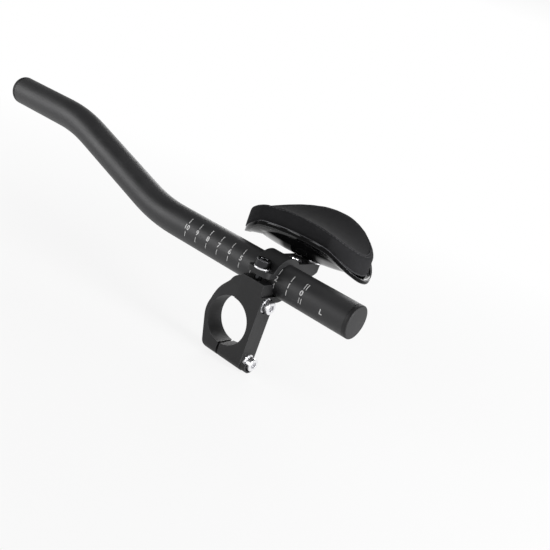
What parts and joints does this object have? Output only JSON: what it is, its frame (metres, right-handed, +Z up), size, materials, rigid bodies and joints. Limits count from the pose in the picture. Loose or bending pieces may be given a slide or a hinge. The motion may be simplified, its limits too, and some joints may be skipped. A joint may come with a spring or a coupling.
{
  "type": "aero handlebar extension",
  "caption": "Clip-on aero handlebar extension: S-bend tube in a split handlebar clamp, with a padded forearm rest on an arm beside it.",
  "frame": {"origin": "middle of the handlebar clamp's bore", "axes": "+X forward along the extension tube, +Y along the handlebar towards the middle of the bike, +Z up"},
  "size_m": [0.3566, 0.0982, 0.1026],
  "materials": {
    "anodised_tube": "satin",
    "anodised_clamp": "matt",
    "steel": "polished",
    "end_plug": "matt",
    "tray_shell": "gloss",
    "hook_patch": "matt",
    "pad_cover": "matt"
  },
  "bodies": {
    "clamp": {"clamp_body": "anodised_clamp", "clamp_cap": "anodised_clamp", "armrest_bracket": "anodised_clamp", "armrest_tray": "tray_shell", "hook_patch": "hook_patch", "arm_pad": "pad_cover", "handlebar_bolt_upper": "steel", "handlebar_bolt_lower": "steel", "tube_bolt_inner": "steel", "tube_bolt_outer": "steel", "handlebar_washer_upper": "steel", "handlebar_washer_lower": "steel", "tube_washer_inner": "steel", "tube_washer_outer": "steel", "tray_screw_front": "steel", "tray_screw_rear": "steel", "tray_washer_front": "steel", "tray_washer_rear": "steel"},
    "extension": {"extension_tube": "anodised_tube", "front_end_plug": "end_plug", "rear_end_plug": "end_plug"}
  },
  "joints": [
    {"name": "tube_slide", "type": "slide", "parent": "clamp", "child": "extension", "axis": [1, 0, 0], "range_m": [-0.06, 0.018]}
  ]
}
